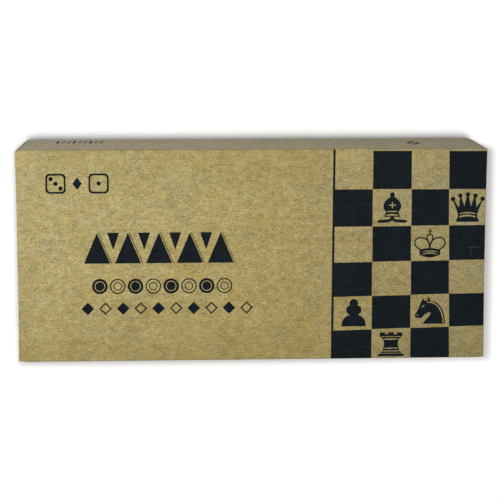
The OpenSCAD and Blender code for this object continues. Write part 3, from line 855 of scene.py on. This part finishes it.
def newMaterial(name, **shader):
    material = bpy.data.materials.new(name)
    material.use_nodes = True
    kit = NodeKit(material.node_tree)
    kit.material, kit.shader = material, kit.tree.nodes["Principled BSDF"]
    coords = kit.add("ShaderNodeTexCoord").outputs
    kit.coords, kit.normal = coords["Object"], coords["Normal"]
    kit.feed(**shader)
    return kit


def closeMaterial(kit):
    kit.arrange()
    return kit.material


# A noise is given by its stretch, scale per metre, detail and roughness,
# and a layer of fibres by its turn, their scale along and across, and the ramp that picks them out
paperMake = {
    "fine": ((0.75, 1, 1), 1000, 3.0, 0.8),
    "coarse": ((0.7, 1, 1), 260, 2.0, 0.5),
    "broad": ((1, 1, 1), 34, 2.0, 0.5),
    "lightness": {"fine": 1.9, "coarse": 0.6, "broad": 0.3},  # how much each lightens and darkens
    "patch": ((1, 1, 1), 95, 4.0, 0.75),  # bluer or yellower
    "patchGreen": 0.25,
    "patchBlue": 1.1,
    "warm": ((0.6, 1, 1), 120, 3.0, 0.6),  # where the pulp is browner
    "warmRamp": (0.52, 0.72),
    "warmTint": (0.93, 0.80, 0.62, 1),
    "warmShare": 0.45,
    "darkFibres": [(0.35, 210, 1500, 0.69, 0.76), (-0.55, 230, 1400, 0.70, 0.77),
                   (1.15, 230, 1400, 0.70, 0.77), (2.2, 230, 1400, 0.70, 0.77)],
    "paleFibres": (0.9, 220, 1400, 0.66, 0.74),
    "fibreNoise": (1.0, 1.0, 0.4),
    "speckScale": 170,
    "speckRamp": (0.075, 0.03),  # distance from a speck's middle, as a share of a cell
    "speckLeft": 0.80,  # a cell has a speck when its random grey is above this
    "darkTint": (0.30, 0.25, 0.18, 1),
    "darkShare": 0.5,
    "paleTint": (0.72, 0.62, 0.40, 1),
    "paleShare": 0.30,
    "coarseHeight": 0.6,
    "roughness": (0.12, 0.76),  # how much it varies with the fine noise, and its least
}


def buildPaperGroup():
    m = paperMake
    inputs = {"Vector": None, "Color": (0.4, 0.3, 0.13, 1), "Mottle": 1.0, "Fibres": 1.0}
    kit, given = newGroup("paperGrain", inputs, ("Color", "Height", "Roughness"))
    vector = given["Vector"]
    grain = {word: kit.noise(vector, *m[word]) for word in m["lightness"]}
    light = 1.0
    for word, share in m["lightness"].items():
        light = kit.raised(kit.math("SUBTRACT", grain[word], 0.5), share, light)
    light = kit.raised(kit.math("SUBTRACT", light, 1.0), given["Mottle"], 1.0)
    grey = kit.add("ShaderNodeCombineColor", enumerate((light, light, light)))
    shaded = kit.mix(1.0, given["Color"], grey.outputs[0], "MULTIPLY")

    patch = kit.math("SUBTRACT", kit.noise(vector, *m["patch"]), 0.5)
    green, blue = (kit.raised(patch, m[word], 1.0) for word in ("patchGreen", "patchBlue"))
    tint = kit.add("ShaderNodeCombineColor", enumerate((1.0, green, blue)))
    shaded = kit.mix(1.0, shaded, tint.outputs[0], "MULTIPLY")
    warm = kit.ramp(kit.noise(vector, *m["warm"]), *m["warmRamp"])
    shaded = kit.mix(kit.times(warm, m["warmShare"]), shaded, m["warmTint"], "MULTIPLY")

    def fibres(turn, along, across, low, high):
        return kit.ramp(kit.noise(vector, (along, across, across), *m["fibreNoise"], turn), low, high)

    specks = kit.add("ShaderNodeTexVoronoi", {"Vector": vector, "Scale": m["speckScale"]}).outputs
    dark = kit.times(kit.ramp(specks["Distance"], *m["speckRamp"]),
                     kit.math("GREATER_THAN", specks["Color"], m["speckLeft"]))
    for layer in m["darkFibres"]:
        dark = kit.math("MAXIMUM", dark, fibres(*layer))
    dark = kit.times(dark, given["Fibres"], m["darkShare"])
    pale = kit.times(fibres(*m["paleFibres"]), given["Fibres"], m["paleShare"])
    shaded = kit.mix(dark, shaded, m["darkTint"], "MULTIPLY")
    return closeGroup(kit, Color=kit.mix(pale, shaded, m["paleTint"]),
                      Height=kit.raised(grain["coarse"], m["coarseHeight"], grain["fine"]),
                      Roughness=kit.raised(grain["fine"], *m["roughness"]))


fluteMake = {
    "wobble": ((1, 1, 1), 25, 1.0, 0.5),
    "wobbleReach": 0.0006,  # how far a ridge wanders, in metres
    "share": 0.9,  # of the ridges' height, against the paper's grain
}


# The print-through of the flutes: shallow ridges along X, one pitch apart
def buildFluteGroup():
    m = fluteMake
    kit, given = newGroup("fluteRidges", {"Vector": None, "Pitch": boardMake["pitch"] * mm}, ("Height",))
    at = kit.parts(given["Vector"])
    wobble = kit.noise(given["Vector"], *m["wobble"])
    across = kit.raised(wobble, m["wobbleReach"], kit.math("ADD", at["Y"], at["Z"]))
    wave = kit.math("SINE", kit.times(kit.math("DIVIDE", across, given["Pitch"]), 2 * math.pi))
    return closeGroup(kit, Height=kit.raised(wave, 0.5, 0.5))


woodMake = {
    "rings": ((0.05, 1, 1), 210, 3.0, 0.6),
    "pores": ((0.05, 1, 1), 1600, 2.0, 0.6),
    "flecks": ((0.25, 1, 1), 2600, 1.0, 0.4),
    "ringRamp": (0.38, 0.62),
    "poreRamp": (0.50, 0.68),
    "fleckRamp": (0.66, 0.72),
    "poreShare": 0.35,
    "toneShare": 0.72,
    "fleckColor": (0.30, 0.15, 0.06, 1),
    "fleckDepth": 0.5,
    "bump": (0.25, 0.00005),  # strength, and distance in metres
}


# Straight-grained wood: growth rings drawn out along X, fine pores and short dark flecks
def buildWoodGroup():
    m = woodMake
    inputs = {"Vector": None, "Light": (0.7, 0.5, 0.3, 1), "Dark": (0.5, 0.32, 0.16, 1),
              "Scale": 1.0, "Flecks": 0.0}
    kit, given = newGroup("woodGrain", inputs, ("Color", "Height"))
    scaled = kit.add("ShaderNodeVectorMath", {0: given["Vector"], "Scale": given["Scale"]}, operation="SCALE")
    rings, pores, flecks = (kit.noise(scaled.outputs[0], *m[word]) for word in ("rings", "pores", "flecks"))
    ringed, pored = kit.ramp(rings, *m["ringRamp"]), kit.ramp(pores, *m["poreRamp"])
    tone = kit.raised(pored, m["poreShare"], ringed)
    tone = kit.math("MULTIPLY", tone, m["toneShare"], clamp=True)
    grain = kit.mix(tone, given["Light"], given["Dark"])
    fleck = kit.times(kit.ramp(flecks, *m["fleckRamp"]), given["Flecks"])
    return closeGroup(kit, Color=kit.mix(fleck, grain, m["fleckColor"]),
                      Height=kit.math("SUBTRACT", pores, kit.times(fleck, m["fleckDepth"])))


paperGroup = buildPaperGroup()
fluteGroup = buildFluteGroup()
woodGroup = buildWoodGroup()

# In metres. A tint shows where all of its ramps are up: an axis, where the tint starts and where it is full
kraftMake = {
    "pale": (0.420, 0.351, 0.155, 1),
    "deep": (0.362, 0.285, 0.102, 1),
    "paintedLightCorner": (-0.15, 0.03, 0.058),  # the board's colour is palest here: mostly painted light falloff from the lamp's side, partly a drift in the board's own colour
    "paintedLightReach": 0.19,  # and deepest past this distance
    "deepShare": 0.85,
    "drift": (0.0, -3.0, 0.0),  # with a further painted darkening per metre towards the near side
    "mottle": 1.13,
    "tints": [
        ((0.90, 0.93, 1.14, 1), [("X", -0.01, 0.14)]),  # painted shade: greyer and darker towards the right-hand end, as the lamp's light falls off
        ((0.90, 0.895, 0.85, 1), [("Y", 0.02, 0.07), ("Z", 0.054, 0.057), ("X", -0.15, -0.115),
                                  ("X", 0.06, 0.025)]),  # painted shade: darker along the far fold of the front, where the light falls off
        ((0.945, 0.94, 0.935, 1), [("Y", -0.048, -0.064), ("Z", 0.054, 0.057)]),  # also slightly darker along the near fold
        ((1.03, 1.02, 1.28, 1), [("Y", 0.067, 0.068), ("Z", 0.057, 0.054), ("X", 0.12, 0.0)]),  # painted reflection: the far side bluer and greyer, for the white sheen of the surroundings seen at a grazing angle
    ],
    "bump": (0.55, 0.00006),
}


# Feeds a material the paper's grain over the print-through of the flutes
def paperLook(kit, bump, **values):
    paper = kit.group(paperGroup, Vector=kit.coords, **values)
    flutes = kit.group(fluteGroup, Vector=kit.coords)
    kit.feed(Base_Color=paper["Color"])
    kit.bump(kit.raised(flutes["Height"], fluteMake["share"], paper["Height"]), *bump)
    return paper


def kraftMaterial():
    m = kraftMake
    kit = newMaterial("kraftBoard", Specular_IOR_Level=0.15, Sheen_Weight=0.1, Sheen_Roughness=0.4)
    # Mostly painted light falloff: the board is painted paler near the lamp's corner and deeper towards the near
    # right
    far = kit.ramp(kit.vector("DISTANCE", kit.coords, m["paintedLightCorner"]), 0.0, m["paintedLightReach"])
    drift = kit.vector("DOT_PRODUCT", kit.coords, m["drift"])
    share = kit.raised(far, m["deepShare"], drift, clamp=True)
    color = kit.mix(share, m["pale"], m["deep"])
    at = kit.parts(kit.coords)
    # The tints below paint shade along the right-hand end and the far fold, and a reflection on the far side
    for tint, ramps in m["tints"]:
        mask = kit.times(*(kit.ramp(at[axis], low, high) for axis, low, high in ramps))
        color = kit.mix(mask, color, tint, "MULTIPLY")
    paper = paperLook(kit, m["bump"], Color=color, Mottle=m["mottle"])
    kit.feed(Roughness=paper["Roughness"])
    return closeMaterial(kit)


inkMake = {
    "color": (0.0046, 0.0077, 0.0099, 1),
    "mottle": 2.2,
    "bump": (0.4, 0.00006),
}


def inkMaterial():
    kit = newMaterial("printingInk", Specular_IOR_Level=0.05, Roughness=0.6)
    paperLook(kit, inkMake["bump"], Color=inkMake["color"], Mottle=inkMake["mottle"], Fibres=0.0)
    return closeMaterial(kit)


woodLooks = {
    "birch": {"Light": (0.74, 0.57, 0.36, 1), "Dark": (0.62, 0.44, 0.24, 1), "Scale": 0.8},
    "beech": {"Light": (0.72, 0.49, 0.25, 1), "Dark": (0.50, 0.29, 0.12, 1), "Scale": 0.9, "Flecks": 0.8},
    "boxwood": {"Light": (0.80, 0.62, 0.34, 1), "Dark": (0.68, 0.48, 0.23, 1), "Scale": 1.4},
    "ebony": {"Light": (0.045, 0.032, 0.024, 1), "Dark": (0.02, 0.014, 0.01, 1), "Scale": 1.4},
}


# The grain runs along X, or along Y when it is turned
def woodMaterial(name, look, turn=0, **shader):
    kit = newMaterial(name, **shader)
    turned = kit.stretch(kit.coords, (1, 1, 1), math.radians(turn))
    wood = kit.group(woodGroup, Vector=turned, **woodLooks[look])
    kit.feed(Base_Color=wood["Color"])
    kit.bump(wood["Height"], *woodMake["bump"])
    return closeMaterial(kit)


caseLow, caseHigh = boxOf("lower_panel")[0] * mm, boxOf("upper_panel")[1] * mm

# In metres, on the panels of the wooden case
boardMarks = {
    "veneer": 0.0005,  # thickness of each veneer in the ply
    "veneerRamp": (-0.3, 0.3),
    "edgeShare": 0.65,
    "plyEdge": (0.36, 0.22, 0.11, 1),
    "squares": 8,  # along each side of the board
    "border": 0.027,  # left bare at each end
    "foldY": caseHigh.y,  # the board's middle line, where its two halves are hinged
    "middleZ": (caseLow.z + caseHigh.z) / 2,
    "outside": 0.01,  # the squares are only on faces further than this from the middle
    "stain": (0.085, 0.033, 0.012, 1),
    "stainShare": 0.95,
}


# Birch ply: its raw edges show the veneers, and its outer face the squares of the playing board
def plyMaterial():
    m = boardMarks
    kit = newMaterial("birchPly", Roughness=0.45, Coat_Weight=0.15)
    wood = kit.group(woodGroup, Vector=kit.coords, **woodLooks["birch"])
    at, facing = kit.parts(kit.coords), kit.parts(kit.normal)
    plies = kit.ramp(kit.math("SINE", kit.times(at["Z"], math.pi / m["veneer"])), *m["veneerRamp"])
    upright = kit.math("LESS_THAN", kit.math("ABSOLUTE", facing["Z"]), 0.5)
    color = kit.mix(kit.times(plies, upright, m["edgeShare"]), wood["Color"], m["plyEdge"])

    square = (caseHigh.x - caseLow.x - 2 * m["border"]) / m["squares"]
    half = square * m["squares"] / 2
    counted = kit.stretch(kit.coords, (1 / square, 1 / square, 0), move=(0, -m["foldY"] / square, 0.5))
    checker = kit.add("ShaderNodeTexChecker", {"Vector": counted, "Scale": 1.0})
    inside = kit.math("LESS_THAN", kit.math("ABSOLUTE", at["X"]), half)
    near = kit.math("GREATER_THAN", at["Y"], m["foldY"] - half)
    outward = kit.times(facing["Z"], kit.math("SUBTRACT", at["Z"], m["middleZ"]))
    outward = kit.math("GREATER_THAN", outward, m["outside"])
    stained = kit.times(checker.outputs["Fac"], inside, near, outward, m["stainShare"])
    kit.feed(Base_Color=kit.mix(stained, color, m["stain"]))
    kit.bump(wood["Height"], *woodMake["bump"])
    return closeMaterial(kit)


# Two colours, and the noise that goes from one to the other where its ramp is given. Roughness is how
# much it varies and its least.
toneLooks = {
    "brass": {"noise": ((1, 1, 0.15), 2500, 2.0, 0.6), "ramp": (0.35, 0.7),
              "colors": ((0.84, 0.64, 0.28, 1), (0.70, 0.50, 0.20, 1)),
              "roughness": (0.2, 0.18), "bump": (0.1, 0.00002)},
    "ivory": {"noise": ((1, 1, 1), 300, 2.0, 0.5), "ramp": None,
              "colors": ((0.88, 0.85, 0.76, 1), (0.80, 0.76, 0.65, 1)), "bump": (0.05, 0.00002)},
    "rubbed": {"noise": ((1, 1, 1), 1200, 2.0, 0.6), "ramp": (0.3, 0.7),
               "colors": ((0.022, 0.025, 0.030, 1), (0.075, 0.078, 0.086, 1))},
}


def toneMaterial(name, look, **shader):
    m = toneLooks[look]
    kit = newMaterial(name, **shader)
    marks = kit.noise(kit.coords, *m["noise"])
    mask = kit.ramp(marks, *m["ramp"]) if m["ramp"] else marks
    kit.feed(Base_Color=kit.mix(mask, *m["colors"]))
    if "roughness" in m:
        kit.feed(Roughness=kit.raised(marks, *m["roughness"]))
    if "bump" in m:
        kit.bump(marks, *m["bump"])
    return closeMaterial(kit)


materials = {
    "kraft_board": kraftMaterial(),
    "birch_ply": plyMaterial(),
    "beech": woodMaterial("beechRail", "beech", Roughness=0.45, Coat_Weight=0.15),
    "boxwood": woodMaterial("boxwoodMen", "boxwood", Roughness=0.3, Coat_Weight=0.5),
    "ebonised_wood": woodMaterial("ebonisedMen", "ebony", Roughness=0.28, Coat_Weight=0.5),
    "brass": toneMaterial("platedBrass", "brass", Metallic=1.0),
    "ivory_plastic": toneMaterial("ivoryPlastic", "ivory", Roughness=0.25, Coat_Weight=0.3),
}
rubbed = toneMaterial("rubbedInk", "rubbed", Specular_IOR_Level=0.1, Roughness=0.5)
endBeech = woodMaterial("beechEndRail", "beech", 90, Roughness=0.45, Coat_Weight=0.15)
endRails = ("lower_left_rail", "lower_right_rail", "upper_left_rail", "upper_right_rail")
for pieces, material in ((kraftPieces, materials["kraft_board"]), (inkPieces, inkMaterial()),
                         ([rubMark], rubbed)):
    for piece in pieces:
        piece.data.materials.append(material)

# How the edges of the parts in CAD are rounded
edgeMake = {
    "radius": {"birch_ply": 0.25, "beech": 0.4, "brass": 0.12},
    "segments": 2,
    "angle": 40,  # an edge that bends less stays as it is
    "weld": 0.01,  # points nearer than this become one first
}
slotOf = {part["node"]: part["material_slot"] for part in frame["record"]["subparts"]}
for name, node in frame["nodes"].items():
    slot = slotOf[name]
    node.data.materials.clear()
    node.data.materials.append(endBeech if name in endRails else materials[slot])
    if slot in edgeMake["radius"]:
        node.modifiers.new("weld", "WELD").merge_threshold = edgeMake["weld"] * mm
        rounding = node.modifiers.new("rounding", "BEVEL")
        rounding.width = edgeMake["radius"][slot] * mm
        rounding.segments = edgeMake["segments"]
        rounding.limit_method = "ANGLE"
        rounding.angle_limit = math.radians(edgeMake["angle"])
print("materials set")

# In metres, and watts for a lamp's power
studio = {
    "floorSize": 6.0,
    "contact": 0.009,  # how far the painted contact shadow under the edges reaches: occlusion darkens the floor's colour and glow
    "contactRamp": (0.25, 1.0),
    "contactSamples": 8,
    "lampPlace": (-0.052, 0.152, 0.752),
    "lampAim": (-0.22, 0.22, 0.0),  # left and far of the carton, so the light falls off to the near right
    "lampSize": 0.086,
    "lampPower": 4.38,
    "fillPlace": (0.9, -0.9, 0.55),  # a weak lamp here and one mirrored, for the near side and the ends
    "fillSize": 0.8,
    "fillPower": 1.2,
    "world": 0.20,  # what the sky gives the object; the camera sees it white
    "floorColor": 0.9,
    "floorBounce": 0.54,  # the floor's colour in the light that it throws on the object
    "floorGlow": 0.228,  # brings the open floor up to white in the camera's view
    "glowCentre": (-0.06, 0.04, 0.0),
    "glowReach": 0.10,  # past this distance from there the glow grows, as the lamp's light falls off
    "glowSlope": 1.0,
}


def buildFloor():
    s = studio
    half = s["floorSize"] / 2 / mm
    corners = [(x * half, y * half, 0) for x, y in ((-1, -1), (1, -1), (1, 1), (-1, 1))]
    floor = makePiece("floor", corners, [(0, 1, 2, 3)])
    kit = newMaterial("whiteTable", Roughness=0.9, Specular_IOR_Level=0.0)
    # Painted contact shadow: the occlusion darkens the floor's colour and its glow near the carton
    contact = kit.add("ShaderNodeAmbientOcclusion", {"Distance": s["contact"]}, samples=s["contactSamples"])
    shade = kit.ramp(contact.outputs["AO"], *s["contactRamp"])
    white = s["floorColor"]
    kit.feed(Base_Color=kit.mix(shade, (0, 0, 0, 1), (white, white, white, 1)))
    away = kit.vector("DISTANCE", kit.coords, s["glowCentre"])
    beyond = kit.math("MAXIMUM", kit.math("SUBTRACT", away, s["glowReach"]), 0.0)
    strength = kit.raised(beyond, s["glowSlope"], s["floorGlow"])
    glow = kit.add("ShaderNodeEmission", {"Strength": kit.times(shade, strength)})
    bright = kit.add("ShaderNodeAddShader", {0: kit.shader.outputs[0], 1: glow.outputs[0]})
    dim = s["floorBounce"]
    bounce = kit.add("ShaderNodeBsdfDiffuse", {"Color": (dim, dim, dim, 1)})
    pick = kit.add("ShaderNodeMixShader", {0: kit.seenRays(), 1: bounce.outputs[0], 2: bright.outputs[0]})
    kit.put(kit.tree.nodes["Material Output"].inputs["Surface"], pick.outputs[0])
    floor.data.materials.append(closeMaterial(kit))


def buildWorld():
    world = bpy.data.worlds.new("studio")
    bpy.context.scene.world = world
    world.use_nodes = True
    kit = NodeKit(world.node_tree)
    sky = kit.tree.nodes["Background"].inputs
    kit.put(sky["Color"], (1, 1, 1, 1))
    kit.put(sky["Strength"], kit.raised(kit.seenRays(), 1 - studio["world"], studio["world"]))
    kit.arrange()


def buildLamp(name, place, aim, size, power):
    data = bpy.data.lights.new(name, "AREA")
    data.shape = "DISK"
    data.size = size
    data.energy = power
    lamp = bpy.data.objects.new(name, data)
    lamp.location = place
    lamp.rotation_euler = (Vector(aim) - Vector(place)).to_track_quat("-Z", "Y").to_euler()
    bpy.context.scene.collection.objects.link(lamp)


viewpoint = {
    "place": (-0.0326, 0.1715, 0.8996),  # metres
    "tilt": (-6.58, -2.09, -0.27),  # degrees about X, Y and Z
    "lens": 96.4,
    "sensor": 36,
    "shiftY": -0.22,
    "clip": (0.05, 20),  # metres
}


def buildCamera():
    data = bpy.data.cameras.new("photoView")
    data.lens = viewpoint["lens"]
    data.sensor_width = viewpoint["sensor"]
    data.shift_y = viewpoint["shiftY"]
    data.clip_start, data.clip_end = viewpoint["clip"]
    camera = bpy.data.objects.new("photoView", data)
    camera.location = viewpoint["place"]
    camera.rotation_mode = "ZYX"
    camera.rotation_euler = [math.radians(a) for a in viewpoint["tilt"]]
    bpy.context.scene.collection.objects.link(camera)
    bpy.context.scene.camera = camera


buildFloor()
buildWorld()
buildLamp("softbox", studio["lampPlace"], studio["lampAim"], studio["lampSize"], studio["lampPower"])
for side in (-1, 1):
    aside, nearer, up = studio["fillPlace"]
    buildLamp("fill", (side * aside, nearer, up), (0, 0, 0), studio["fillSize"], studio["fillPower"])
buildCamera()
bpy.context.scene.view_settings.view_transform = "Standard"
print("floor, light and camera set")
